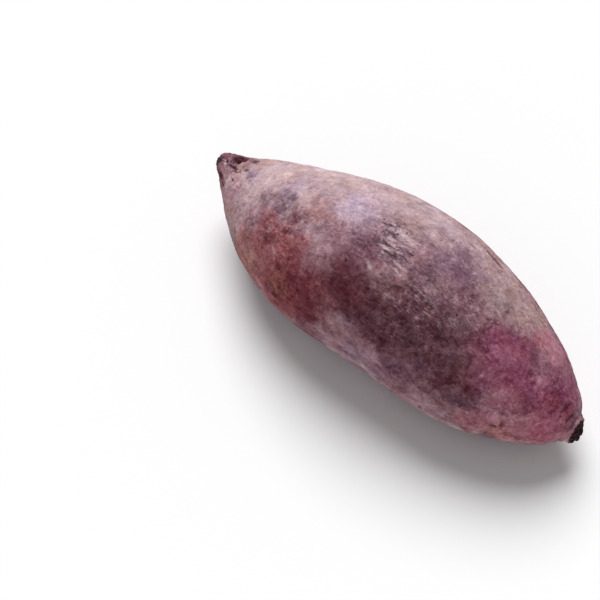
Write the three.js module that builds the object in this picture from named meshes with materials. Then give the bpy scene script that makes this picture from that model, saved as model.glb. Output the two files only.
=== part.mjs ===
// A purple sweet potato as it lies on a table: one grown root, thick in the middle and a little
// bent, with a shrivelled stem end at -X and the dark stub of its broken tail root at +X.
// Millimetres, +Z up. The origin is on the table, under the middle of the root's box.
import * as THREE from "three";
import { mergeVertices } from "three/addons/utils/BufferGeometryUtils.js";

// The root from the stem end to the tail: how far along, how far the middle line bows to +Y,
// how high the belly hangs over the table, and the half width of the root there.
const STATIONS = [
  { along: 0, bow: 2.5, lift: 27, half: 2 },
  { along: 3.5, bow: 2.3, lift: 24, half: 4.7 },
  { along: 11, bow: 1.8, lift: 17, half: 9.7 },
  { along: 27, bow: 0.6, lift: 8, half: 19.2 },
  { along: 48, bow: -1.8, lift: 2, half: 28 },
  { along: 72, bow: -1.5, lift: 0, half: 33 },
  { along: 97, bow: 1.2, lift: 0, half: 34 },
  { along: 120, bow: 1, lift: 0, half: 32 },
  { along: 142, bow: 1.5, lift: 0, half: 28 },
  { along: 160, bow: 2.5, lift: 5, half: 20.5 },
  { along: 168, bow: 3.2, lift: 8, half: 15 },
  { along: 173, bow: 3.8, lift: 11, half: 10.5 },
  { along: 176, bow: 4, lift: 12.5, half: 7 },
  { along: 177, bow: 4, lift: 13, half: 6 },
  { along: 178.5, bow: 3.8, lift: 13, half: 4.5 },
  { along: 180.5, bow: 3.5, lift: 12.5, half: 3.5 },
];

const SQUAT = 0.95; // height of a cross-section over its width
const BELLY_SINK = 0.7; // how much of the belly is pressed flat where it lies on the table
const STEM_ROUND = 1.6; // depth over which the stem end's blunt face rounds off
const STUB_ROUND = 2; // the same at the broken stub

// Broad swellings and hollows of the flesh, each a wave along the root times one around it.
const SWELLS = [
  { size: 0.022, along: 1.6, around: 2, phase: 0.6, turn: 0.9 },
  { size: 0.016, along: 2.7, around: 3, phase: 2.1, turn: 0.2 },
  { size: 0.012, along: 4.3, around: 2, phase: 4.0, turn: 1.7 },
  { size: 0.008, along: 6.1, around: 5, phase: 1.2, turn: 2.6 },
];

const RINGS = 72; // rings of facets along the root
const SIDES = 36; // facets in each ring

const SKIN = new THREE.MeshStandardMaterial({
  color: 0x8a626c,
  roughness: 0.85,
  metalness: 0,
});

// The line under the middle of the belly, and the half width along it as a second curve.
const path = new THREE.CatmullRomCurve3(
  STATIONS.map(({ along, bow, lift }) => new THREE.Vector3(along, bow, lift)),
  false,
  "catmullrom",
);
const girth = new THREE.CatmullRomCurve3(
  STATIONS.map(({ along, half }) => new THREE.Vector3(along, half, 0)),
  false,
  "catmullrom",
);

const LENGTH = STATIONS.at(-1).along;

// 1 on the body, falling to 0 at an end along a quarter circle of the given depth.
function endRound(distance, depth) {
  const left = THREE.MathUtils.clamp(1 - distance / depth, 0, 1);
  return Math.sqrt(1 - left * left);
}

function swelling(t, angle) {
  return SWELLS.reduce((sum, { size, along, around, phase, turn }) => {
    return sum + size * Math.sin(2 * Math.PI * along * t + phase) * Math.cos(around * angle + turn);
  }, 1);
}

// The point of the skin at t along the root (0 to 1) and an angle around it from the +Y side.
function skinPoint(t, angle) {
  const belly = path.getPoint(t);
  const heading = path.getTangent(t).setZ(0).normalize();
  const sideways = new THREE.Vector3(-heading.y, heading.x, 0);
  const { x: along, y: half } = girth.getPoint(t);
  const blunt = endRound(along, STEM_ROUND) * endRound(LENGTH - along, STUB_ROUND);
  const radius = half * blunt * swelling(t, angle);
  const middle = belly.z + half * SQUAT - BELLY_SINK;
  return new THREE.Vector3(belly.x, belly.y, 0)
    .addScaledVector(sideways, radius * Math.cos(angle))
    .setZ(Math.max(0, middle + radius * SQUAT * Math.sin(angle)));
}

// A ball whose poles become the two ends and whose parallels become the rings of the root.
function rootGeometry() {
  const ball = new THREE.SphereGeometry(1, SIDES, RINGS);
  ball.deleteAttribute("normal");
  ball.deleteAttribute("uv");
  const geometry = mergeVertices(ball);
  const place = geometry.getAttribute("position");
  const point = new THREE.Vector3();
  for (let i = 0; i < place.count; i += 1) {
    point.fromBufferAttribute(place, i);
    const t = (1 - point.y) / 2;
    const skin = skinPoint(t, Math.atan2(point.z, point.x));
    place.setXYZ(i, skin.x, skin.y, skin.z);
  }
  geometry.computeBoundingBox();
  const middle = geometry.boundingBox.getCenter(new THREE.Vector3());
  geometry.translate(-middle.x, -middle.y, 0);
  geometry.computeVertexNormals();
  return geometry;
}

const tuber = new THREE.Mesh(rootGeometry(), SKIN);
tuber.name = "tuber";

const sweetPotato = new THREE.Group();
sweetPotato.add(tuber);

export default sweetPotato;
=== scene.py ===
"""A purple sweet potato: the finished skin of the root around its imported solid, and the studio."""
import math

import bmesh
import bpy
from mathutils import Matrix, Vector


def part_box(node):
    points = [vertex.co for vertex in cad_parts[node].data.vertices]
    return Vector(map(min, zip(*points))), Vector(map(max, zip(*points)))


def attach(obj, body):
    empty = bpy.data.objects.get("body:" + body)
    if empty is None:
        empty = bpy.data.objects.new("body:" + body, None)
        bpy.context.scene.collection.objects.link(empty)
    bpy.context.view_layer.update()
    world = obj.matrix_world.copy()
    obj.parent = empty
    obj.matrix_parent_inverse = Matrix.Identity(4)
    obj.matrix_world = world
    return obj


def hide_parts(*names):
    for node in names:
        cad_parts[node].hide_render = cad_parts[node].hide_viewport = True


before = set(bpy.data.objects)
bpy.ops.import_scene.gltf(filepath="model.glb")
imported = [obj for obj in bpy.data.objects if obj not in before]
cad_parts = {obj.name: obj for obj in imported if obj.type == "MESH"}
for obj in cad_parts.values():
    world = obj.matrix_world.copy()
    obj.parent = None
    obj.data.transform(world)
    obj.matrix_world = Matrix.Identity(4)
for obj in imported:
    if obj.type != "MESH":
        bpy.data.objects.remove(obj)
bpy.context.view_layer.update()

MM = 0.001
CLEAR = 1.0  # metres, well past every side of the root
LOW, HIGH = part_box("tuber")
LENGTH = HIGH.x - LOW.x
MIDDLE = (LOW + HIGH) / 2

# The skin's mesh: rings of faces along the root, faces on each of a ring's four sides, and the
# length of each end that is closed by a square cap instead of rings
RINGS = 284
RING_SIDE = 73
CAP = 8 * MM

# Relief of the skin: how high its lumps are and the sizes they come at. Creases have a width as a
# share of their size, and run on over patches of a size.
SWELL = {"height": 0.9 * MM, "size": 24 * MM}
DENT = {"height": 1.0 * MM, "size": 7.5 * MM}
GRAIN = {"height": 0.38 * MM, "size": 2.3 * MM}
CREASE = {"depth": 0.16 * MM, "size": 2.4 * MM, "width": 0.075, "patch": 7 * MM}
CREASE_PACE = (1.0, 0.45, 0.45)  # how fast creases change each way, so they run across the root
HOLLOW = 0.16 * MM  # dents this deep are darkest and grain this high is palest

# Root scars: rows of them round the root and how steeply the rows wind, the least gap between two
# scars, their depth and shape, the rim round each, and the shallow bowl that it sits in
SCAR_ROWS = 5.0
SCAR_WIND = 22.0  # radians for each metre along the root
SCAR_CROWD = 60000.0  # most points that are tried on a square metre
SCAR_GAP = 24 * MM
SCAR_DEPTH = 0.4 * MM
SCAR_HALF_LENGTH = (1.2 * MM, 2.6 * MM)
SCAR_SLIMNESS = 0.35  # half width over half length
SCAR_RIM = 0.12 * MM
SCAR_BOWL = {"depth": 0.35 * MM, "reach": 6 * MM}
SEED = 11  # another seed puts the scars elsewhere

# The stem end: how far its shrivelled folds run back, their depth, and its crumpled lumps
STEM_REACH = 22 * MM
STEM_FOLD = 0.6 * MM
CRUMPLE = {"height": 1.8 * MM, "size": 3.2 * MM, "start": 16 * MM, "full": 2 * MM}

# The tail: how far its wrinkles run back and their depth, the dark broken stub with its ragged edge
# and its crumbs, the pale collar behind the stub with its radius, its rise and how its edge strays,
# and the furrow round the collar, which comes and goes over patches of a size
TAIL_REACH = 20 * MM
TAIL_FOLD = 0.4 * MM
STUB_LENGTH = 2.2 * MM
STUB_SLANT = 0.06  # how much further back the break lies for each metre across
STUB_EDGE = {"height": 1.6 * MM, "size": 2 * MM}
CRUMBS = {"height": 1.3 * MM, "size": 2.2 * MM, "cell": 2.1 * MM}
COLLAR = 8.6 * MM
COLLAR_RISE = 0.25 * MM
COLLAR_EDGE = {"height": 5 * MM, "size": 4 * MM, "softness": 1.5 * MM}
FURROW = {"depth": 0.5 * MM, "half_width": 1.3 * MM, "patch": 5 * MM}

# The way a mark is headed is found from places this far to either side of it
STEP_ALONG = 0.01  # share of the root's length
STEP_AROUND = 4  # degrees

# Single marks on the skin: where (share of the length, angle up from the +Y side), the angle it is
# turned away from running along the root, half its length, half its width and its depth in
# millimetres (a ridge's depth is negative), how ragged its edge is, and how dark it is.
MARKS = [
    (0.049, 71, 0, 2.1, 1.3, 1.4, 0.4, 1.0),  # torn pits beside the stem end
    (0.061, 78, 40, 1.7, 1.1, 1.2, 0.4, 1.0),
    (0.052, 57, 0, 2.2, 1.1, 0.9, 0.4, 1.0),
    (0.068, 69, 0, 2.0, 1.4, 0.7, 0.6, 0.7),
    (0.095, 69, -20, 1.7, 1.2, 0.7, 0.5, 0.7),
    (0.083, 74, 75, 3.8, 0.8, -0.6, 0.3, 0.0),  # ridge between them
    (0.044, 84, 0, 2.6, 0.7, -0.5, 0.3, 0.0),
    (0.036, 91, 20, 0.9, 0.6, 0.4, 0.8, 0.9),  # strokes down the front of the stem end
    (0.056, 98, 0, 2.4, 0.45, 0.4, 0.9, 0.8),
    (0.070, 101, -8, 2.8, 0.5, 0.4, 0.9, 0.85),
    (0.083, 106, -8, 2.2, 0.5, 0.35, 0.9, 0.8),
    (0.101, 95, -25, 1.3, 0.7, 0.4, 0.8, 0.7),
    (0.086, 124, 15, 1.1, 0.6, 0.35, 0.8, 0.8),
    (0.121, 109, 10, 0.9, 0.6, 0.3, 0.8, 0.6),
    (0.148, 112, 0, 1.2, 0.4, 0.25, 0.8, 0.4),
    (0.054, 147, 0, 4.8, 1.1, 0.6, 0.7, 0.3),  # furrow down the side
    (0.669, 44, 8, 6.0, 1.4, 0.9, 0.3, 0.9),  # slit on the shoulder
    (0.871, 169, 0, 1.8, 0.5, 0.4, 0.4, 0.8),
    (0.957, 78, 90, 3.4, 0.8, 0.6, 0.7, 0.45),  # furrows by the tail stub
    (0.971, 76, 90, 2.6, 0.7, 0.6, 0.7, 0.5),
    (0.944, 108, 120, 1.8, 0.7, 0.4, 0.8, 0.4),
    (0.958, 104, 75, 1.6, 0.5, 0.4, 0.8, 0.4),
]

# Colours of the skin
MAUVE = (0.33, 0.18, 0.21, 1)
DUST = (0.49, 0.355, 0.375, 1)
PALE = (0.64, 0.52, 0.55, 1)
TAN = (0.42, 0.28, 0.275, 1)
CLAY = (0.34, 0.185, 0.18, 1)
LAVENDER = (0.45, 0.33, 0.41, 1)
SLATE = (0.19, 0.11, 0.145, 1)
VIOLET = (0.21, 0.125, 0.17, 1)
RUSSET = (0.25, 0.068, 0.077, 1)
RUST = (0.33, 0.12, 0.095, 1)
MAROON = (0.155, 0.026, 0.037, 1)
WINE = (0.09, 0.018, 0.028, 1)
PLUM = (0.18, 0.075, 0.1, 1)
# Dark brown that also holds painted shadow, as cast by a cut half lying beside the root
UMBER_AND_SHADOW = (0.11, 0.04, 0.053, 1)
CERISE = (0.19, 0.03, 0.065, 1)
MAGENTA = (0.26, 0.067, 0.12, 1)
PINK = (0.37, 0.1, 0.155, 1)
ROSE = (0.52, 0.21, 0.255, 1)
BLUSH = (0.6, 0.31, 0.35, 1)
INK = (0.05, 0.03, 0.045, 1)
TORN = (0.04, 0.006, 0.011, 1)
BARK = (0.014, 0.006, 0.008, 1)
# grey-pink painted highlights on the crumbs of the dark stub
STUB_GLINT = (0.25, 0.17, 0.17, 1)
STALK = (0.05, 0.045, 0.042, 1)

# The slow change of warmth over the skin, as what it multiplies the colours by
COOLER = (0.97, 1.0, 1.05, 1)
WARMER = (1.03, 1.0, 0.96, 1)

EYE_GAMMA = 2.2  # how the eye and a screen read the amount of light

# Zones where one colour rules: where, its radius in millimetres, the colour, how strongly. A later
# row lies over the earlier ones.
ZONES = [
    # The red side behind the stem end, the dark middle, partly painted shadow, and the pink tail
    (0.15, 160, 12, TAN, 0.5),
    (0.24, 172, 14, RUST, 0.85),
    (0.34, 178, 16, RUSSET, 0.95),
    (0.25, 138, 9, RUSSET, 0.6),
    (0.30, 144, 14, RUSSET, 0.88),
    (0.355, 152, 12, RUSSET, 0.85),
    (0.40, 165, 18, MAROON, 0.95),
    (0.46, 142, 14, MAROON, 0.75),
    (0.49, 134, 12, WINE, 0.85),
    (0.57, 140, 16, WINE, 0.7),
    # painted shadow of a cut half lying beside the root, over dark brown skin
    (0.635, 129, 15, UMBER_AND_SHADOW, 0.95),
    (0.74, 127, 17, UMBER_AND_SHADOW, 0.8),
    # painted shadow of the same cut half, laid in dark wine
    (0.79, 150, 14, WINE, 0.6),
    (0.845, 106, 19, MAGENTA, 0.85),
    (0.94, 92, 14, MAGENTA, 0.9),
    (0.945, 125, 13, PINK, 0.5),
    (0.87, 155, 9, PINK, 0.5),
    (0.90, 166, 9, ROSE, 0.7),
    (0.95, 150, 9, PINK, 0.8),
    (0.86, 58, 9, ROSE, 0.6),
    # The pale dusty back
    (0.13, 60, 12, TAN, 0.8),
    (0.20, 52, 13, DUST, 0.8),
    (0.30, 46, 16, DUST, 0.8),
    (0.40, 46, 17, DUST, 0.65),
    (0.17, 102, 15, DUST, 0.9),
    (0.22, 84, 12, TAN, 0.75),
    (0.28, 64, 15, DUST, 0.7),
    (0.37, 74, 16, DUST, 0.6),
    (0.31, 71, 7, TAN, 0.6),
    (0.50, 58, 19, DUST, 0.72),
    (0.60, 46, 16, DUST, 0.6),
    (0.70, 50, 13, TAN, 0.45),
    (0.76, 62, 13, TAN, 0.6),
    (0.29, 101, 8, DUST, 0.7),
    # The blue bloom and the dark patches round it
    (0.41, 88, 11, LAVENDER, 0.9),
    (0.35, 106, 9, CLAY, 0.5),
    (0.39, 120, 10, PLUM, 0.45),
    (0.46, 98, 8, VIOLET, 0.5),
    (0.48, 113, 9, PLUM, 0.85),
    (0.64, 80, 12, VIOLET, 0.7),
    (0.67, 94, 10, PLUM, 0.6),
    # Smaller patches over all of it
    (0.83, 175, 8, ROSE, 0.5),
    (0.87, 79, 7, PLUM, 0.65),
    (0.575, 116, 7, CLAY, 0.35),
    (0.595, 123, 6, PLUM, 0.55),
    (0.545, 112, 5, PLUM, 0.5),
    (0.726, 75, 7, TAN, 0.45),
    (0.735, 93, 6, MAUVE, 0.45),
    (0.557, 98, 5, MAUVE, 0.5),
    # darker partly as painted shadow of a cut half lying beside the root
    (0.63, 124, 7, UMBER_AND_SHADOW, 0.45),
    (0.215, 138, 6, MAUVE, 0.5),
    (0.347, 166, 7, RUST, 0.5),
    (0.42, 130, 7, MAUVE, 0.6),
    (0.81, 48, 8, TAN, 0.65),
    (0.52, 108, 6, PLUM, 0.65),
    (0.865, 140, 8, ROSE, 0.4),
    (0.885, 46, 7, ROSE, 0.6),
    (0.125, 74, 5, CLAY, 0.5),
    (0.615, 97, 8, PLUM, 0.65),
    (0.50, 77, 7, CLAY, 0.5),
    (0.245, 97, 6, LAVENDER, 0.5),
    (0.358, 135, 7, RUSSET, 0.7),
    # darker partly as painted shadow of a cut half lying beside the root
    (0.705, 110, 7, UMBER_AND_SHADOW, 0.7),
    (0.586, 88, 6, PLUM, 0.4),
    (0.289, 122, 4, DUST, 0.35),
    (0.289, 87, 5, MAUVE, 0.45),
    (0.228, 158, 6, PLUM, 0.35),
    (0.879, 44, 5, DUST, 0.35),
    (0.908, 43, 5, DUST, 0.3),
    (0.418, 55, 6, CLAY, 0.35),
    (0.593, 70, 6, CLAY, 0.35),
    (0.88, 178, 6, RUST, 0.5),
    # The side at the back
    (0.90, 12, 20, MAGENTA, 0.6),
    (0.60, 0, 26, MAROON, 0.6),
    (0.35, -5, 22, RUSSET, 0.6),
]

# How far the edges of zones and of spots stray: over what size in millimetres, and by what share
# of their radius
ZONE_EDGE = (9, 0.9)
SPOT_EDGE = (2.5, 1.1)

# Smaller spots with crisper edges, given in the same way as the zones
SPOTS = [
    (0.009, 98, 3.0, STALK, 0.95),
    (0.034, 112, 3.4, MAUVE, 0.9),
    (0.050, 125, 4.0, MAUVE, 0.6),
    (0.058, 67, 4.4, WINE, 0.85),
    (0.080, 80, 2.4, CLAY, 0.9),
    (0.076, 92, 2.4, CLAY, 0.8),
    (0.094, 110, 4.0, TAN, 0.8),
    (0.102, 125, 4.0, MAUVE, 0.4),
    (0.040, 150, 2.2, WINE, 0.8),
    (0.060, 149, 2.2, WINE, 0.5),
    # painted shade: a greyish shadow patch beside the stem end
    (0.125, 97, 3.6, VIOLET, 0.7),
    (0.198, 117, 3.8, SLATE, 0.5),
    (0.218, 116, 4.2, SLATE, 0.65),
    (0.240, 107, 3.8, SLATE, 0.5),
    (0.268, 110, 5.0, SLATE, 0.95),
    (0.676, 60, 2.6, DUST, 0.3),
    # painted highlight: a small spot of light on the stem end
    (0.033, 100, 0.9, PALE, 0.8),
    (0.965, 74, 4.0, CERISE, 0.8),
    # painted highlight: light caught on the skin beside the tail stub
    (0.984, 56, 1.3, PALE, 0.6),
    (0.974, 150, 3.4, ROSE, 0.6),
]

STREAK_RAGGEDNESS = 0.9

# Streaks of scurf beside the thickest part, and one under the tail: where, the turn away from
# running along the root, half the length, half the width, the colour, how strongly
STREAKS = [
    (0.486, 87, -5, 2.6, 0.7, INK, 0.7),
    (0.503, 92, 5, 2.4, 0.7, INK, 0.75),
    (0.509, 99, 0, 3.0, 0.8, INK, 0.65),
    (0.496, 95, 10, 2.0, 0.7, INK, 0.65),
    (0.528, 93, -5, 2.4, 0.6, INK, 0.5),
    (0.497, 101, 0, 3.2, 1.3, INK, 0.6),
    (0.545, 103, 5, 3.4, 1.2, INK, 0.5),
    (0.482, 107, 15, 1.0, 0.8, PLUM, 0.6),
    (0.492, 110, 0, 1.2, 0.8, PLUM, 0.6),
    (0.527, 88, 0, 3.8, 0.8, PALE, 0.4),
    (0.512, 95, -8, 2.2, 0.5, PALE, 0.55),
    (0.521, 98, 6, 3.0, 0.6, PALE, 0.5),
    (0.511, 102, 0, 2.2, 0.6, PALE, 0.55),
    (0.541, 99, -4, 2.6, 0.5, PALE, 0.4),
    (0.556, 106, 0, 3.0, 0.5, PALE, 0.4),
    (0.563, 110, 8, 2.4, 0.5, PALE, 0.4),
    (0.506, 117, 35, 2.2, 0.8, DUST, 0.5),
    (0.915, 176, 0, 9.0, 1.5, RUSSET, 0.6),
]

# Patches where white flecks and dark streaks crowd together: where, the radius, how strongly
SCURF = [
    (0.515, 95, 12, 1.0),
    (0.455, 104, 7, 0.4),
    (0.080, 96, 8, 0.6),
    (0.630, 112, 20, 0.4),
    (0.720, 88, 14, 0.4),
    (0.260, 118, 9, 0.35),
    (0.200, 137, 12, 0.45),
    (0.300, 140, 12, 0.4),
    (0.860, 146, 8, 0.5),
]

# Clouds in the finish: their size in millimetres, how much detail they hold, how rough it is, how
# far it is twisted, and a shift in millimetres that keeps one kind from lying over another
CLOUDS = {
    "purple": (28, 2.0, 0.5, 0.5, (0, 0, 0)),
    "violet": (16, 3.0, 0.55, 0.5, (90, 0, 0)),
    "dusty": (12, 3.0, 0.55, 0.5, (0, 70, 0)),
    "warm": (7, 3.0, 0.6, 0.6, (0, 0, 40)),
    "patches": (5, 3.0, 0.6, 0.6, (0, 0, 0)),
    "rough": (1.8, 3.0, 0.55, 0.5, (0, 0, 0)),
    "veins": (5.5, 2.0, 0.55, 1.1, (0, 33, 8)),
    "curls": (2.6, 1.0, 0.5, 1.6, (7, 0, 60)),
    "worn": (2.4, 3.0, 0.6, 0.5, (0, 0, 0)),
    "bark": (1.8, 2.0, 0.5, 0.0, (0, 0, 0)),
    # flecks of painted highlight on the stub
    "stub_glints": (1.1, 3.0, 0.6, 0.8, (0, 0, 0)),
    "grit": (0.6, 2.0, 0.5, 0.0, (0, 0, 0)),
}

# Strokes of dust and soil: how fast the pattern runs along the root (under 1 draws it out), its
# shift and its size in millimetres, the share of the skin it takes and how soft its edges are
STROKES = {
    "dark streaks": (0.5, (0, 0, 0), 2.2, 0.58, 0.14),
    "white flecks": (0.35, (3, 21, 40), 1.2, 0.5, 0.12),
    "films": (0.6, (13, 57, 5), 4.4, 0.45, 0.12),
    "chips": (0.7, (41, 3, 9), 1.3, 0.4, 0.08),
    "pale": (0.6, (0, 0, 0), 1.5, 0.44, 0.06),
    "dark": (0.6, (13, 57, 5), 1.5, 0.41, 0.06),
}

# Specks, given the same way but with their spacing, radius and the share of places that hold one
SPECKS = {
    "dark": (1.0, (0, 0, 0), 3.6, 0.45, 0.35),
    # the pale specks are partly painted glints of light
    "pale": (0.6, (13, 57, 5), 3.2, 0.4, 0.35),
}

# The camera's angles in degrees, its lens, and its place as multiples of the root's length
CAMERA_AZIMUTH = 42
CAMERA_HEIGHT = 58
CAMERA_LENS = 85
LOOK_FROM = 2.971
LOOK_ASIDE = -0.1845
LOOK_BELOW = -0.0425

# The studio: strength and softness in degrees of the two lights, the even light from all round, and
# how bright the wall and the floor look
KEY = {"strength": 3.15, "softness": 40}
FILL = {"strength": 0.3, "softness": 90}
EVEN_LIGHT = 0.28
WALL = 0.93
FLOOR = 0.86


# ---------------------------------------------------------------- node trees


class Net:
    """A node tree being built. Each method adds one node or a few and gives back an output."""

    def __init__(self, tree):
        self.tree = tree

    def node(self, kind, inputs=None, **settings):
        """A node. Each of its inputs is linked to an output or set to a value."""
        made = self.tree.nodes.new(kind)
        for name, value in settings.items():
            setattr(made, name, value)
        for key, value in (inputs or {}).items():
            if isinstance(value, bpy.types.NodeSocket):
                self.tree.links.new(value, made.inputs[key])
            else:
                made.inputs[key].default_value = value
        return made

    def group(self, tree, inputs):
        kind = "GeometryNodeGroup" if tree.bl_idname == "GeometryNodeTree" else "ShaderNodeGroup"
        return self.node(kind, inputs, node_tree=tree).outputs

    def math(self, operation, a, b=0.0, c=0.0):
        return self.node("ShaderNodeMath", {0: a, 1: b, 2: c}, operation=operation).outputs[0]

    def total(self, *parts):
        """The sum of masks, each times its share."""
        amount = 0.0
        for mask, share in parts:
            amount = self.math("MULTIPLY_ADD", mask, share, amount)
        return amount

    def apart(self, value):
        """How far a value lies from a half, either way."""
        return self.math("ABSOLUTE", self.math("SUBTRACT", value, 0.5))

    def span(self, value, start, end, to_start=0.0, to_end=1.0, kind="SMOOTHSTEP"):
        """value eased from to_start at start to to_end at end."""
        inputs = {0: value, 1: start, 2: end, 3: to_start, 4: to_end}
        return self.node("ShaderNodeMapRange", inputs, interpolation_type=kind).outputs[0]

    def vector(self, operation, a, b=(0, 0, 0)):
        return self.node("ShaderNodeVectorMath", {0: a, 1: b}, operation=operation).outputs[0]

    def measure(self, operation, a, b=(0, 0, 0)):
        """A length, distance or dot product: a number worked out from vectors."""
        return self.node("ShaderNodeVectorMath", {0: a, 1: b}, operation=operation).outputs[1]

    def scale(self, vector, factor):
        inputs = {0: vector, "Scale": factor}
        return self.node("ShaderNodeVectorMath", inputs, operation="SCALE").outputs[0]

    def join(self, x=0.0, y=0.0, z=0.0):
        return self.node("ShaderNodeCombineXYZ", {0: x, 1: y, 2: z}).outputs[0]

    def parts(self, vector):
        return self.node("ShaderNodeSeparateXYZ", {0: vector}).outputs

    def noise(self, where, scale, detail=2.0, roughness=0.5, distortion=0.0, out=0):
        inputs = {
            "Vector": where,
            "Scale": scale,
            "Detail": detail,
            "Roughness": roughness,
            "Distortion": distortion,
        }
        return self.node("ShaderNodeTexNoise", inputs).outputs[out]

    def mix(self, factor, a, b, blend="MIX"):
        inputs = {0: factor, 6: a, 7: b}
        return self.node("ShaderNodeMix", inputs, data_type="RGBA", blend_type=blend).outputs[2]


def add_sockets(tree, inputs, outputs):
    """Named sockets for a node group: name, kind and, for an input, its starting value."""
    for name, kind, *value in inputs:
        socket = tree.interface.new_socket(name=name, in_out="INPUT", socket_type=kind)
        if value:
            socket.default_value = value[0]
    for name, kind in outputs:
        tree.interface.new_socket(name=name, in_out="OUTPUT", socket_type=kind)


# ---------------------------------------------------------------- the root's own places


def skin_point(along, around):
    """The solid's surface at a share of its length and an angle up from the +Y side."""
    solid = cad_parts["tuber"]
    x = LOW.x + along * LENGTH
    top = solid.ray_cast(Vector((x, 0, CLEAR)), Vector((0, 0, -1)))[1]
    belly = solid.ray_cast(Vector((x, 0, -CLEAR)), Vector((0, 0, 1)))[1]
    middle = (top + belly) / 2
    outward = Vector((0, math.cos(math.radians(around)), math.sin(math.radians(around))))
    return solid.ray_cast(middle, outward)[1]


def end_point(side):
    """The middle of the root's stem end (side -1) or tail stub (side 1)."""
    places = [vertex.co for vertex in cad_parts["tuber"].data.vertices]
    return max(places, key=lambda place: side * place.x).copy()


# ---------------------------------------------------------------- the skin's mesh


def loops_tree():
    """Geometry Nodes that wrap a box of quads round the root: rings along it, a cap on each end."""
    tree = bpy.data.node_groups.new("skin loops", "GeometryNodeTree")
    inputs = [
        ("Root", "NodeSocketGeometry"),
        ("Stem End", "NodeSocketVector"),
        ("Tail End", "NodeSocketVector"),
        ("Cap", "NodeSocketFloat", 0.0),
        ("Rings", "NodeSocketInt", 3),
        ("Ring Side", "NodeSocketInt", 3),
        ("Finish", "NodeSocketMaterial"),
    ]
    add_sockets(tree, inputs, [("Skin", "NodeSocketGeometry")])
    net = Net(tree)
    given = net.node("NodeGroupInput").outputs
    box = net.node(
        "GeometryNodeMeshCube",
        {
            "Size": (2, 2, 2),
            "Vertices X": given["Rings"],
            "Vertices Y": given["Ring Side"],
            "Vertices Z": given["Ring Side"],
        },
    ).outputs["Mesh"]
    u, v, w = net.parts(net.node("GeometryNodeInputPosition").outputs[0])

    # On the rings rim is 1 and the rays leave square to the axis; on a cap they fan out to its end.
    rim = net.math("MAXIMUM", net.math("ABSOLUTE", v), net.math("ABSOLUTE", w))
    side = net.math("TANGENT", net.math("MULTIPLY", net.math("DIVIDE", v, rim), math.pi / 4))
    up = net.math("TANGENT", net.math("MULTIPLY", net.math("DIVIDE", w, rim), math.pi / 4))
    tilt = net.math("MULTIPLY", net.math("SUBTRACT", 1.0, rim), math.pi / 2)
    ahead = net.math("MULTIPLY", net.math("SIGN", u), net.math("SINE", tilt))
    spoke = net.vector("NORMALIZE", net.join(y=side, z=up))
    ray = net.vector("ADD", net.scale(spoke, net.math("COSINE", tilt)), net.join(x=ahead))

    def hit(start, heading):
        inputs = {
            "Target Geometry": given["Root"],
            "Source Position": start,
            "Ray Direction": heading,
            "Ray Length": CLEAR,
        }
        return net.node("GeometryNodeRaycast", inputs).outputs["Hit Position"]

    stem, tail = net.parts(given["Stem End"]), net.parts(given["Tail End"])
    first = net.math("ADD", stem[0], given["Cap"])
    last = net.math("SUBTRACT", tail[0], given["Cap"])
    x = net.span(u, -1.0, 1.0, first, last, "LINEAR")
    y = net.span(u, -1.0, 1.0, stem[1], tail[1], "LINEAR")
    top = hit(net.join(x, y, CLEAR / 2), (0, 0, -1))
    belly = hit(net.join(x, y, -CLEAR / 2), (0, 0, 1))
    middle = net.scale(net.vector("ADD", top, belly), 0.5)
    skin = {"Geometry": box, "Position": hit(middle, ray)}
    skin = net.node("GeometryNodeSetPosition", skin).outputs[0]
    net.node("NodeGroupOutput", {0: finished(net, skin, given["Finish"])})
    return tree


def finished(net, skin, finish):
    """The end of a tree: everything in it made real, and its material put on."""
    skin = net.node("GeometryNodeRealizeInstances", {0: skin}).outputs[0]
    inputs = {"Geometry": skin, "Material": finish}
    return net.node("GeometryNodeSetMaterial", inputs).outputs[0]


# ---------------------------------------------------------------- relief of the skin


def mark_group(kind):
    """Node group for either kind of tree: 1 inside a ragged lens on the skin, 0 outside."""
    tree = bpy.data.node_groups.new("mark", kind)
    inputs = [
        ("Place", "NodeSocketVector"),
        ("Centre", "NodeSocketVector"),
        ("Heading", "NodeSocketVector"),
        ("Half Length", "NodeSocketFloat", 1.0),
        ("Half Width", "NodeSocketFloat", 1.0),
        ("Raggedness", "NodeSocketFloat", 0.0),
    ]
    add_sockets(tree, inputs, [("Mask", "NodeSocketFloat"), ("Reach", "NodeSocketFloat")])
    net = Net(tree)
    given = net.node("NodeGroupInput").outputs
    away = net.vector("SUBTRACT", given["Place"], given["Centre"])
    ahead = net.measure("DOT_PRODUCT", away, given["Heading"])
    aside = net.vector("SUBTRACT", away, net.scale(given["Heading"], ahead))
    length = net.math("DIVIDE", ahead, given["Half Length"])
    width = net.math("DIVIDE", net.measure("LENGTH", aside), given["Half Width"])
    reach = net.measure("LENGTH", net.join(length, width))
    wander = net.math("SUBTRACT", net.noise(given["Place"], 1 / (1.1 * MM)), 0.5)
    ragged = net.math("MULTIPLY", given["Raggedness"], 4.0)
    reach = net.math("MULTIPLY_ADD", wander, ragged, reach)
    net.node("NodeGroupOutput", {0: net.span(reach, 1.3, 0.6), 1: reach})
    return tree


def mark_inputs(place, along, around, turn, half_length, half_width, raggedness):
    ahead = skin_point(along + STEP_ALONG, around) - skin_point(along - STEP_ALONG, around)
    aside = skin_point(along, around + STEP_AROUND) - skin_point(along, around - STEP_AROUND)
    turn = math.radians(turn)
    return {
        "Place": place,
        "Centre": skin_point(along, around),
        "Heading": math.cos(turn) * ahead.normalized() + math.sin(turn) * aside.normalized(),
        "Half Length": half_length * MM,
        "Half Width": half_width * MM,
        "Raggedness": raggedness,
    }


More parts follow.
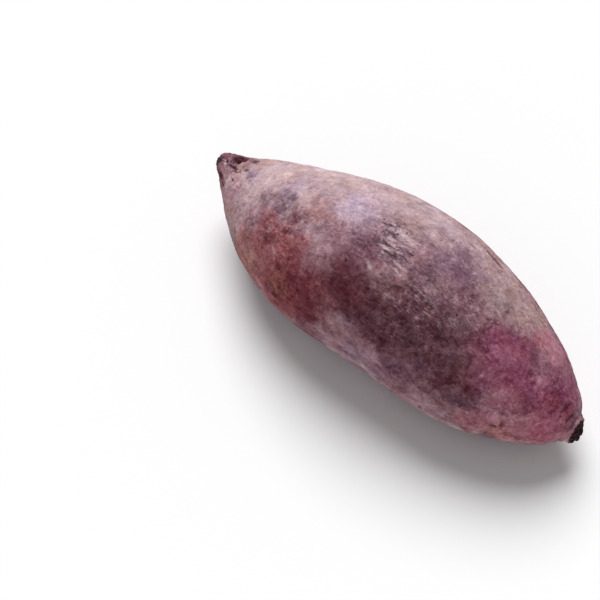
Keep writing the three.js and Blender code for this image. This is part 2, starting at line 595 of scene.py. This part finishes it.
class Relief(Net):
    """The tree of the skin's relief, which has the place of each point of the skin at hand."""

    def __init__(self, tree):
        super().__init__(tree)
        self.given = self.node("NodeGroupInput").outputs
        self.place = self.node("GeometryNodeInputPosition").outputs[0]
        self.x, self.y, self.z = self.parts(self.place)

    def lumps(self, size, detail, roughness=0.5):
        """Rounded lumps of a size, from about -0.5 to 0.5."""
        where = self.scale(self.place, self.math("DIVIDE", 1.0, size))
        return self.math("SUBTRACT", self.noise(where, 1.0, detail, roughness), 0.5)


def creases(net):
    """Creases of the dried skin: thin broken lines that run across the root."""
    flow = net.vector("MULTIPLY", net.place, CREASE_PACE)
    flow = net.scale(flow, net.math("DIVIDE", 1.0, net.given["Crease Size"]))
    crack = net.apart(net.noise(flow, 1.0, 2.0, 0.5, 0.6))
    broken = net.span(net.noise(net.place, 1 / CREASE["patch"], 1.0), 0.4, 0.62)
    return net.math("MULTIPLY", net.span(crack, CREASE["width"], 0.0), broken)


def scars(net, mark):
    """Root scars strewn over the skin in loose rows: their mask, their rim and their height."""
    turn = net.math("ARCTAN2", net.math("SUBTRACT", net.z, MIDDLE.z), net.y)
    drift = net.math("MULTIPLY_ADD", net.x, SCAR_WIND, net.math("MULTIPLY", turn, SCAR_ROWS))
    in_row = net.span(net.math("COSINE", drift), 0.1, 0.9)
    strewn = net.node(
        "GeometryNodeDistributePointsOnFaces",
        {
            "Mesh": net.given["Skin"],
            "Distance Min": net.given["Scar Gap"],
            "Density Max": SCAR_CROWD,
            "Density Factor": in_row,
            "Seed": net.given["Seed"],
        },
        distribute_method="POISSON",
    ).outputs["Points"]
    near = net.node("GeometryNodeSampleNearest", {"Geometry": strewn}).outputs[0]

    def of_scar(kind, value):
        inputs = {"Geometry": strewn, "Value": value, "Index": near}
        return net.node("GeometryNodeSampleIndex", inputs, data_type=kind).outputs[0]

    lengths = {2: net.given["Scar Shortest"], 3: net.given["Scar Longest"], "Seed": 1}
    length = net.node("FunctionNodeRandomValue", lengths, data_type="FLOAT").outputs[1]
    # Each scar lies across the root, so along the root it is only as long as it is slim.
    centre = of_scar("FLOAT_VECTOR", net.place)
    half = of_scar("FLOAT", length)
    lens = {
        "Place": net.place,
        "Centre": centre,
        "Heading": (1, 0, 0),
        "Half Length": net.math("MULTIPLY", half, SCAR_SLIMNESS),
        "Half Width": half,
        "Raggedness": 0.3,
    }
    scar, reach = net.group(mark, lens)
    rim = net.math("MULTIPLY", net.span(reach, 2.4, 1.5), net.span(reach, 0.9, 1.5))
    distance = net.measure("LENGTH", net.vector("SUBTRACT", net.place, centre))
    bowl = net.span(distance, SCAR_BOWL["reach"], 0.0)
    height = net.math("MULTIPLY", scar, net.math("MULTIPLY", net.given["Scar Depth"], -1.0))
    height = net.math("MULTIPLY_ADD", rim, SCAR_RIM, height)
    height = net.math("MULTIPLY_ADD", bowl, -SCAR_BOWL["depth"], height)
    return scar, rim, height


def folds(net, end, reach, crowding, waver):
    """Creases that run into an end of the root, 1 at their bottom, and how far the end is."""
    away = net.vector("SUBTRACT", net.place, end)
    distance = net.measure("LENGTH", away)
    _, side, up = net.parts(away)
    angle = net.math("ARCTAN2", up, side)
    ring = net.join(
        net.math("MULTIPLY", net.math("COSINE", angle), crowding),
        net.math("MULTIPLY", net.math("SINE", angle), crowding),
        net.math("MULTIPLY", distance, waver),
    )
    crease = net.span(net.apart(net.noise(ring, 1.0, 3.0, 0.55, 0.4)), 0.10, 0.0)
    return net.math("MULTIPLY", crease, net.span(distance, reach, 0.0)), distance


def broken_stub(net):
    """The crumbly stub of the broken tail root: its mask and its crumbs."""
    end_x, end_y, _ = net.parts(net.given["Tail End"])
    back = net.math("SUBTRACT", end_x, net.x)
    back = net.math("MULTIPLY_ADD", net.math("SUBTRACT", end_y, net.y), STUB_SLANT, back)
    back = net.math("MULTIPLY_ADD", net.lumps(STUB_EDGE["size"], 2.0), STUB_EDGE["height"], back)
    length = net.given["Stub Length"]
    stub = net.span(back, net.math("MULTIPLY", length, 1.15), length)
    cells = {"Vector": net.place, "Scale": 1 / CRUMBS["cell"]}
    cell = net.node("ShaderNodeTexVoronoi", cells).outputs["Distance"]
    crumbs = net.math("MULTIPLY_ADD", net.lumps(CRUMBS["size"], 2.0, 0.6), 2.2, 0.3)
    crumbs = net.math("MULTIPLY_ADD", cell, -0.3, crumbs)
    return stub, net.math("MULTIPLY", crumbs, stub)


def collar_and_furrow(net, tail_far, stub):
    """The pale collar behind the stub and the broken furrow that runs round it."""
    ragged = net.lumps(COLLAR_EDGE["size"], 2.0)
    past = net.math("SUBTRACT", tail_far, net.given["Collar"])
    past = net.math("MULTIPLY_ADD", ragged, COLLAR_EDGE["height"], past)
    furrow = net.span(net.math("ABSOLUTE", past), FURROW["half_width"], 0.0)
    furrow = net.math("MULTIPLY", furrow, net.span(net.lumps(FURROW["patch"], 1.0), -0.1, 0.1))
    collar = net.span(past, 0.0, -COLLAR_EDGE["softness"])
    return net.math("MULTIPLY", collar, net.math("SUBTRACT", 1.0, stub)), furrow


def relief_tree():
    """Geometry Nodes that press swellings, scars, creases, folds and single marks into the skin."""
    tree = bpy.data.node_groups.new("skin relief", "GeometryNodeTree")
    number, vector = "NodeSocketFloat", "NodeSocketVector"
    inputs = [
        ("Skin", "NodeSocketGeometry"),
        ("Swell Height", number, 0.0),
        ("Swell Size", number, 1.0),
        ("Dent Height", number, 0.0),
        ("Dent Size", number, 1.0),
        ("Grain Height", number, 0.0),
        ("Grain Size", number, 1.0),
        ("Crease Depth", number, 0.0),
        ("Crease Size", number, 1.0),
        ("Scar Gap", number, 1.0),
        ("Scar Depth", number, 0.0),
        ("Scar Shortest", number, 0.0),
        ("Scar Longest", number, 0.0),
        ("Stem End", vector),
        ("Stem Reach", number, 1.0),
        ("Tail End", vector),
        ("Tail Reach", number, 1.0),
        ("Stub Length", number, 1.0),
        ("Collar", number, 1.0),
        ("Seed", "NodeSocketInt", 0),
        ("Finish", "NodeSocketMaterial"),
    ]
    add_sockets(tree, inputs, [("Skin", "NodeSocketGeometry")])
    net = Relief(tree)
    given, place = net.given, net.place
    mark = mark_group("GeometryNodeTree")

    swell = net.math("MULTIPLY", net.lumps(given["Swell Size"], 1.0), given["Swell Height"])
    dent = net.math("MULTIPLY", net.lumps(given["Dent Size"], 2.0), given["Dent Height"])
    grain = net.math("MULTIPLY", net.lumps(given["Grain Size"], 3.0, 0.6), given["Grain Height"])
    crease = creases(net)
    scar, rim, scar_height = scars(net, mark)
    stem, tail = given["Stem End"], given["Tail End"]
    stem_fold, stem_far = folds(net, stem, given["Stem Reach"], crowding=1.6, waver=70.0)
    tail_fold, tail_far = folds(net, tail, given["Tail Reach"], crowding=2.2, waver=50.0)
    near_stem = net.span(stem_far, CRUMPLE["start"], CRUMPLE["full"])
    crumple = net.math("MULTIPLY", net.lumps(CRUMPLE["size"], 3.0, 0.6), near_stem)
    stub, crumbs = broken_stub(net)
    collar, furrow = collar_and_furrow(net, tail_far, stub)

    height = net.math("ADD", net.math("ADD", swell, dent), net.math("ADD", grain, scar_height))
    height = net.math("SUBTRACT", height, net.math("MULTIPLY", crease, given["Crease Depth"]))
    rises = [
        (stem_fold, -STEM_FOLD),
        (tail_fold, -TAIL_FOLD),
        (crumple, CRUMPLE["height"]),
        (crumbs, CRUMBS["height"]),
        (furrow, -FURROW["depth"]),
        (collar, COLLAR_RISE),
    ]
    for *lens, depth, raggedness, _ in MARKS:
        mask = net.group(mark, mark_inputs(place, *lens, raggedness))["Mask"]
        rises.append((mask, -depth * MM))
    for mask, rise in rises:
        height = net.math("MULTIPLY_ADD", mask, rise, height)
    cavity = net.span(net.math("ADD", dent, grain), -HOLLOW, HOLLOW, -1.0, 1.0, "LINEAR")

    def store(skin, name, value, kind="FLOAT"):
        inputs = {"Geometry": skin, "Name": name, "Value": value}
        settings = {"data_type": kind, "domain": "POINT"}
        return net.node("GeometryNodeStoreNamedAttribute", inputs, **settings).outputs[0]

    skin = store(given["Skin"], "unpressed", place, "FLOAT_VECTOR")
    normal = net.node("GeometryNodeInputNormal").outputs[0]
    pressed = {"Geometry": skin, "Offset": net.scale(normal, height)}
    skin = net.node("GeometryNodeSetPosition", pressed).outputs[0]
    masks = {
        "scar": scar,
        "rim": rim,
        "crease": crease,
        "stem_fold": stem_fold,
        "tail_fold": tail_fold,
        "stub": stub,
        "furrow": furrow,
        "collar": collar,
        "cavity": cavity,
    }
    for name, value in masks.items():
        skin = store(skin, name, value)
    on_table = net.join(net.x, net.y, net.math("MAXIMUM", net.z, 0.0))
    skin = net.node("GeometryNodeSetPosition", {"Geometry": skin, "Position": on_table}).outputs[0]
    net.node("NodeGroupOutput", {0: finished(net, skin, given["Finish"])})
    return tree


# ---------------------------------------------------------------- the finish


def zone_group():
    """Shader node group: 1 in a soft round zone, 0 outside it, its edge led astray by Wander."""
    tree = bpy.data.node_groups.new("zone", "ShaderNodeTree")
    inputs = [
        ("Place", "NodeSocketVector"),
        ("Wander", "NodeSocketVector"),
        ("Centre", "NodeSocketVector"),
        ("Radius", "NodeSocketFloat", 1.0),
    ]
    add_sockets(tree, inputs, [("Mask", "NodeSocketFloat")])
    net = Net(tree)
    given = net.node("NodeGroupInput").outputs
    shifted = net.vector("ADD", given["Place"], net.scale(given["Wander"], given["Radius"]))
    away = net.math("DIVIDE", net.measure("DISTANCE", shifted, given["Centre"]), given["Radius"])
    net.node("NodeGroupOutput", {0: net.span(away, 1.15, 0.4)})
    return tree


def strokes_group():
    """Shader node group: short ragged strokes, 1 on a stroke and 0 between them."""
    tree = bpy.data.node_groups.new("strokes", "ShaderNodeTree")
    inputs = [
        ("Place", "NodeSocketVector"),
        ("Size", "NodeSocketFloat", 1.0),
        ("Share", "NodeSocketFloat", 0.5),
        ("Softness", "NodeSocketFloat", 0.1),
    ]
    add_sockets(tree, inputs, [("Mask", "NodeSocketFloat")])
    net = Net(tree)
    given = net.node("NodeGroupInput").outputs
    where = net.scale(given["Place"], net.math("DIVIDE", 1.0, given["Size"]))
    wave = net.noise(where, 1.0, 2.0, 0.5, 0.9)
    local = net.noise(net.vector("ADD", where, (31.0, 7.0, 19.0)), 0.25, 1.0)
    edge = net.math("SUBTRACT", 0.78, net.math("MULTIPLY", local, given["Share"]))
    mask = net.span(wave, edge, net.math("ADD", edge, given["Softness"]))
    net.node("NodeGroupOutput", {0: mask})
    return tree


def specks_group():
    """Shader node group: small round dots of mixed size, on a share of evenly strewn places."""
    tree = bpy.data.node_groups.new("specks", "ShaderNodeTree")
    inputs = [
        ("Place", "NodeSocketVector"),
        ("Spacing", "NodeSocketFloat", 1.0),
        ("Radius", "NodeSocketFloat", 0.1),
        ("Share", "NodeSocketFloat", 0.5),
    ]
    add_sockets(tree, inputs, [("Mask", "NodeSocketFloat")])
    net = Net(tree)
    given = net.node("NodeGroupInput").outputs
    where = net.scale(given["Place"], net.math("DIVIDE", 1.0, given["Spacing"]))
    cells = net.node("ShaderNodeTexVoronoi", {"Vector": where, "Scale": 1.0}).outputs
    pick, size, _ = net.parts(cells["Color"])
    radius = net.math("DIVIDE", given["Radius"], given["Spacing"])
    radius = net.math("MULTIPLY", radius, net.span(size, 0.0, 1.0, 0.5, 1.5, "LINEAR"))
    dot = net.span(net.math("DIVIDE", cells["Distance"], radius), 1.0, 0.5)
    chosen = net.math("LESS_THAN", pick, given["Share"])
    net.node("NodeGroupOutput", {0: net.math("MULTIPLY", dot, chosen)})
    return tree


class Finish(Net):
    """The tree of the skin's finish. place is where each point lay before the relief, in mm."""

    def __init__(self, tree):
        super().__init__(tree)
        kept = self.node("ShaderNodeAttribute", attribute_name="unpressed")
        self.unpressed = kept.outputs["Vector"]
        self.place = self.scale(self.unpressed, 1 / MM)
        self.zone_tree = zone_group()
        self.strokes_tree = strokes_group()
        self.specks_tree = specks_group()
        self.mark_tree = mark_group("ShaderNodeTree")
        self.patches = self.clouds("patches")
        self.rough = self.clouds("rough")
        self.warmth = self.clouds("warm")

    def relief(self, name, share=1.0):
        """One of the masks that the relief leaves on the skin, times a share."""
        mask = self.node("ShaderNodeAttribute", attribute_name=name).outputs["Fac"]
        return self.math("MULTIPLY", mask, share)

    def clouds(self, kind):
        """Soft clouds, from 0 to 1."""
        size, detail, roughness, twist, shift = CLOUDS[kind]
        where = self.vector("ADD", self.place, shift)
        return self.noise(where, 1 / size, detail, roughness, twist)

    def drawn_out(self, pace, shift):
        """The place for a pattern that runs along the root at a pace, and is shifted."""
        return self.vector("ADD", self.vector("MULTIPLY", self.place, (pace, 1.0, 1.0)), shift)

    def strokes(self, kind):
        pace, shift, size, share, softness = STROKES[kind]
        place = self.drawn_out(pace, shift)
        inputs = {"Place": place, "Size": size, "Share": share, "Softness": softness}
        return self.group(self.strokes_tree, inputs)["Mask"]

    def specks(self, kind):
        pace, shift, spacing, radius, share = SPECKS[kind]
        place = self.drawn_out(pace, shift)
        inputs = {"Place": place, "Spacing": spacing, "Radius": radius, "Share": share}
        return self.group(self.specks_tree, inputs)["Mask"]

    def wander(self, size, share):
        """How the edges of zones stray, as a share of their radius."""
        stray = self.noise(self.place, 1 / size, 4.0, out="Color")
        return self.scale(self.vector("SUBTRACT", stray, (0.5, 0.5, 0.5)), share)

    def zone(self, edges, along, around, radius):
        centre = skin_point(along, around) / MM
        inputs = {"Place": self.place, "Wander": edges, "Centre": centre, "Radius": radius}
        return self.group(self.zone_tree, inputs)["Mask"]

    def mark(self, *lens):
        return self.group(self.mark_tree, mark_inputs(self.unpressed, *lens))["Mask"]

    def lay(self, colour, paint, mask, share=1.0):
        """The colour with a share of a paint laid over it where the mask says."""
        return self.mix(self.math("MULTIPLY", mask, share), colour, paint)


def broad_colours(net):
    """Clouds of a few colours, then the zones and spots where one rules, then a shift of warmth."""
    colour = net.mix(net.span(net.clouds("purple"), 0.4, 0.6), PLUM, MAUVE)
    colour = net.mix(net.span(net.clouds("violet"), 0.5, 0.68, 0.0, 0.8), colour, VIOLET)
    colour = net.mix(net.span(net.clouds("dusty"), 0.52, 0.7, 0.0, 0.6), colour, DUST)
    for rows, edges in ((ZONES, net.wander(*ZONE_EDGE)), (SPOTS, net.wander(*SPOT_EDGE))):
        for *where, paint, strength in rows:
            colour = net.lay(colour, paint, net.zone(edges, *where), strength)
    tint = net.mix(net.span(net.warmth, 0.35, 0.65), COOLER, WARMER)
    return net.mix(1.0, colour, tint, "MULTIPLY")


def scurf(net, colour):
    """White flecks and dark streaks that crowd in patches, and where the flecks are."""
    crowd = 0.0
    edges = net.wander(*ZONE_EDGE)
    for *where, strength in SCURF:
        patch = net.math("MULTIPLY", net.zone(edges, *where), strength)
        crowd = net.math("MAXIMUM", patch, crowd)
    streaks = net.strokes("dark streaks")
    flecks = net.strokes("white flecks")
    colour = net.lay(colour, INK, streaks, net.math("MULTIPLY", crowd, 0.8))
    colour = net.lay(colour, DUST, flecks, net.math("MULTIPLY", crowd, 0.65))
    for *lens, paint, strength in STREAKS:
        colour = net.lay(colour, paint, net.mark(*lens, STREAK_RAGGEDNESS), strength)
    return colour, net.math("MULTIPLY", flecks, crowd)


def mottling(net):
    """Patches and grain, as deep as the tone under them but less on the palest skin."""
    return net.total(
        (net.span(net.patches, 0.3, 0.7, -0.19, 0.17, "LINEAR"), 1.0),
        (net.span(net.rough, 0.3, 0.7, -0.11, 0.11, "LINEAR"), 1.0),
        # darker in dents, paler on the tops of the grain
        (net.relief("cavity"), 0.11),
    )


def dust(net, pale):
    """Dust in films, strokes, curls, veins and chips, mostly drawn out along the root."""
    films = net.strokes("films")
    curls = net.span(net.apart(net.clouds("curls")), 0.045, 0.01)
    curls = net.math("MULTIPLY", curls, net.span(net.patches, 0.42, 0.58))
    veins = net.span(net.apart(net.clouds("veins")), 0.07, 0.0, -0.3, 0.7)
    chips = net.math("MULTIPLY", net.strokes("chips"), net.span(net.warmth, 0.42, 0.6))
    return net.total((films, 0.035), (pale, 0.04), (curls, 0.05), (chips, 0.06), (veins, 0.06))


def fine_tones(net, colour, pale, dark, dark_specks):
    """Mottling, dust, soil and painted glints, added alike to red, green and blue as the eye reads
    them.

    They have no hue of their own. The darkest and the palest skin hold less of the dust.
    """
    seen = net.node("ShaderNodeGamma", {"Color": colour, "Gamma": 1 / EYE_GAMMA}).outputs[0]
    grey = net.node("ShaderNodeRGBToBW", {0: seen}).outputs[0]
    depth = net.math("MINIMUM", grey, net.span(grey, 0.3, 0.65, 0.3, 0.2))
    holds_dust = net.span(grey, 0.15, 0.4, 0.5, 1.0)
    holds_dust = net.math("MINIMUM", holds_dust, net.span(grey, 0.5, 0.7, 1.0, 0.6))
    # pale specks: partly dust, partly painted glints of light
    specks_and_glints = net.specks("pale")
    soil = net.total((dark, -0.2), (dark_specks, -0.45), (net.relief("crease"), -0.25))
    tone = net.total(
        (mottling(net), depth),
        (dust(net, pale), holds_dust),
        (soil, depth),
        (specks_and_glints, 0.08),
        (net.relief("rim"), 0.04),
    )
    seen = net.vector("MAXIMUM", net.vector("ADD", seen, tone), (0.02, 0.02, 0.02))
    return net.node("ShaderNodeGamma", {"Color": seen, "Gamma": EYE_GAMMA}).outputs[0]


def scars_and_ends(net, colour):
    """The dark bottoms of scars, folds, furrows and single marks; the stub's bark, with painted
    glints.
    """
    colour = net.mix(net.relief("scar", 0.6), colour, WINE)
    colour = net.mix(net.relief("tail_fold", 0.5), colour, CERISE)
    colour = net.mix(net.relief("stem_fold", 0.35), colour, WINE)
    colour = net.mix(net.relief("furrow", 0.8), colour, CERISE)
    torn = 0.0
    for *lens, _, raggedness, darkness in MARKS:
        mask = net.math("MULTIPLY", net.mark(*lens, raggedness), darkness)
        torn = net.math("MAXIMUM", mask, torn)
    colour = net.lay(colour, TORN, torn, 0.95)
    bark = net.mix(net.span(net.clouds("bark"), 0.48, 0.66, 0.0, 0.7), BARK, WINE)
    # grey-pink flecks of painted highlight on the stub's crumbs
    bark = net.mix(net.span(net.clouds("stub_glints"), 0.57, 0.68, 0.0, 0.6), bark, STUB_GLINT)
    return net.mix(net.relief("stub"), colour, bark)


def skin_material():
    material = bpy.data.materials.new("dusty purple skin")
    material.use_nodes = True
    material.node_tree.nodes.clear()
    net = Finish(material.node_tree)
    pale, dark, dark_specks = net.strokes("pale"), net.strokes("dark"), net.specks("dark")

    colour, flecks = scurf(net, broad_colours(net))
    worn = net.span(net.clouds("worn"), 0.35, 0.6, 0.35, 0.9)
    colour = net.lay(colour, BLUSH, net.relief("collar"), worn)
    colour = fine_tones(net, colour, pale, dark, dark_specks)
    colour = scars_and_ends(net, colour)

    height = net.total(
        (net.rough, 0.2 * MM),
        (net.clouds("grit"), 0.05 * MM),
        (pale, 0.06 * MM),
        (dark, -0.1 * MM),
        (dark_specks, -0.12 * MM),
        (flecks, 0.1 * MM),
    )
    bump = net.node("ShaderNodeBump", {"Strength": 1.0, "Distance": 1.0, "Height": height})
    shader = net.node(
        "ShaderNodeBsdfPrincipled",
        {
            "Base Color": colour,
            "Roughness": net.span(net.patches, 0.3, 0.7, 0.65, 0.85),
            "Specular IOR Level": 0.12,
            "Normal": bump.outputs[0],
        },
    )
    net.node("ShaderNodeOutputMaterial", {0: shader.outputs[0]})
    return material


# ---------------------------------------------------------------- the root


def plain(thing, name):
    """A new object whose mesh is what the given object's modifiers make."""
    evaluated = thing.evaluated_get(bpy.context.evaluated_depsgraph_get())
    mesh = bpy.data.meshes.new_from_object(evaluated)
    worn = [finish for finish in mesh.materials if finish]
    mesh.materials.clear()
    for finish in worn:
        mesh.materials.append(finish)
    mesh.polygons.foreach_set("material_index", [0] * len(mesh.polygons))
    made = bpy.data.objects.new(name, mesh)
    bpy.context.scene.collection.objects.link(made)
    bpy.data.objects.remove(thing)
    return made


def rounded_root():
    """A copy of the solid with its triangles joined to quads and its facets rounded off."""
    net = bmesh.new()
    net.from_mesh(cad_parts["tuber"].data)
    bmesh.ops.remove_doubles(net, verts=net.verts, dist=0.01 * MM)
    bmesh.ops.join_triangles(
        net,
        faces=net.faces,
        angle_face_threshold=math.pi,
        angle_shape_threshold=math.pi,
    )
    mesh = bpy.data.meshes.new("root")
    net.to_mesh(mesh)
    net.free()
    root = bpy.data.objects.new("root", mesh)
    bpy.context.scene.collection.objects.link(root)
    rounded = root.modifiers.new("rounded", "SUBSURF")
    rounded.levels = rounded.render_levels = 2
    return root


def add_nodes(thing, tree, values):
    """A Geometry Nodes modifier, with each input set by the identifier of the socket it names."""
    modifier = thing.modifiers.new(tree.name, "NODES")
    modifier.node_group = tree
    names = {s.name: s.identifier for s in tree.interface.items_tree if s.in_out == "INPUT"}
    for name, value in values.items():
        modifier[names[name]] = value


def sweet_potato():
    loops, relief, finish = loops_tree(), relief_tree(), skin_material()
    shared = {"Stem End": end_point(-1), "Tail End": end_point(1), "Finish": finish}
    root = rounded_root()
    counts = {"Rings": RINGS, "Ring Side": RING_SIDE}
    add_nodes(root, loops, {**shared, **counts, "Cap": CAP})
    values = {
        "Swell Height": SWELL["height"],
        "Swell Size": SWELL["size"],
        "Dent Height": DENT["height"],
        "Dent Size": DENT["size"],
        "Grain Height": GRAIN["height"],
        "Grain Size": GRAIN["size"],
        "Crease Depth": CREASE["depth"],
        "Crease Size": CREASE["size"],
        "Scar Gap": SCAR_GAP,
        "Scar Depth": SCAR_DEPTH,
        "Scar Shortest": SCAR_HALF_LENGTH[0],
        "Scar Longest": SCAR_HALF_LENGTH[1],
        "Stem Reach": STEM_REACH,
        "Tail Reach": TAIL_REACH,
        "Stub Length": STUB_LENGTH,
        "Collar": COLLAR,
        "Seed": SEED,
    }
    add_nodes(root, relief, {**shared, **values})
    skin = plain(root, "sweet_potato")
    for face in skin.data.polygons:
        face.use_smooth = True
    return skin


# ---------------------------------------------------------------- the studio


def camera():
    """The camera. Gives the level directions to its right and back towards it."""
    azimuth, height = math.radians(CAMERA_AZIMUTH), math.radians(CAMERA_HEIGHT)
    level = math.cos(height)
    back = Vector((math.sin(azimuth) * level, -math.cos(azimuth) * level, math.sin(height)))
    right = Vector((math.cos(azimuth), math.sin(azimuth), 0))
    data = bpy.data.cameras.new("camera")
    data.lens = CAMERA_LENS
    data.clip_start = 0.01
    made = bpy.data.objects.new("camera", data)
    bpy.context.scene.collection.objects.link(made)
    aim = MIDDLE + LENGTH * (LOOK_ASIDE * right + LOOK_BELOW * back.cross(right))
    made.location = aim + LENGTH * LOOK_FROM * back
    made.rotation_euler = (-back).to_track_quat("-Z", "Y").to_euler()
    bpy.context.scene.camera = made
    return right, Vector((back.x, back.y, 0)).normalized()


def sun(name, towards, strength, softness):
    """A wide soft light from far away, on the side that towards points to."""
    data = bpy.data.lights.new(name, "SUN")
    data.energy = strength
    data.angle = math.radians(softness)
    made = bpy.data.objects.new(name, data)
    bpy.context.scene.collection.objects.link(made)
    made.rotation_euler = towards.to_track_quat("Z", "Y").to_euler()


def pale_floor():
    reach = 40 * LENGTH
    corners = [(-reach, -reach, 0), (reach, -reach, 0), (reach, reach, 0), (-reach, reach, 0)]
    mesh = bpy.data.meshes.new("floor")
    mesh.from_pydata(corners, [], [(0, 1, 2, 3)])
    floor = bpy.data.objects.new("floor", mesh)
    bpy.context.scene.collection.objects.link(floor)
    paint = bpy.data.materials.new("pale floor")
    paint.use_nodes = True
    shader = paint.node_tree.nodes["Principled BSDF"]
    shader.inputs["Base Color"].default_value = (FLOOR, FLOOR, FLOOR, 1)
    shader.inputs["Roughness"].default_value = 0.9
    shader.inputs["Specular IOR Level"].default_value = 0.1
    mesh.materials.append(paint)


def even_light():
    """Light from all round, behind which the camera sees a brighter pale wall."""
    world = bpy.data.worlds.new("studio")
    bpy.context.scene.world = world
    world.use_nodes = True
    world.node_tree.nodes.clear()
    net = Net(world.node_tree)
    white = (1, 1, 1, 1)
    light = net.node("ShaderNodeBackground", {"Color": white, "Strength": EVEN_LIGHT})
    wall = net.node("ShaderNodeBackground", {"Color": white, "Strength": WALL})
    seen = net.node("ShaderNodeLightPath").outputs["Is Camera Ray"]
    both = net.node("ShaderNodeMixShader", {0: seen, 1: light.outputs[0], 2: wall.outputs[0]})
    net.node("ShaderNodeOutputWorld", {0: both.outputs[0]})


def studio():
    right, near = camera()
    sun("key", near * -0.68 - right * 0.08 + Vector((0, 0, 1)), **KEY)
    sun("fill", near - right * 0.6 + Vector((0, 0, 0.9)), **FILL)
    pale_floor()
    even_light()
    bpy.context.scene.view_settings.view_transform = "Standard"


studio()
skin = sweet_potato()
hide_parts("tuber")
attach(skin, "root")
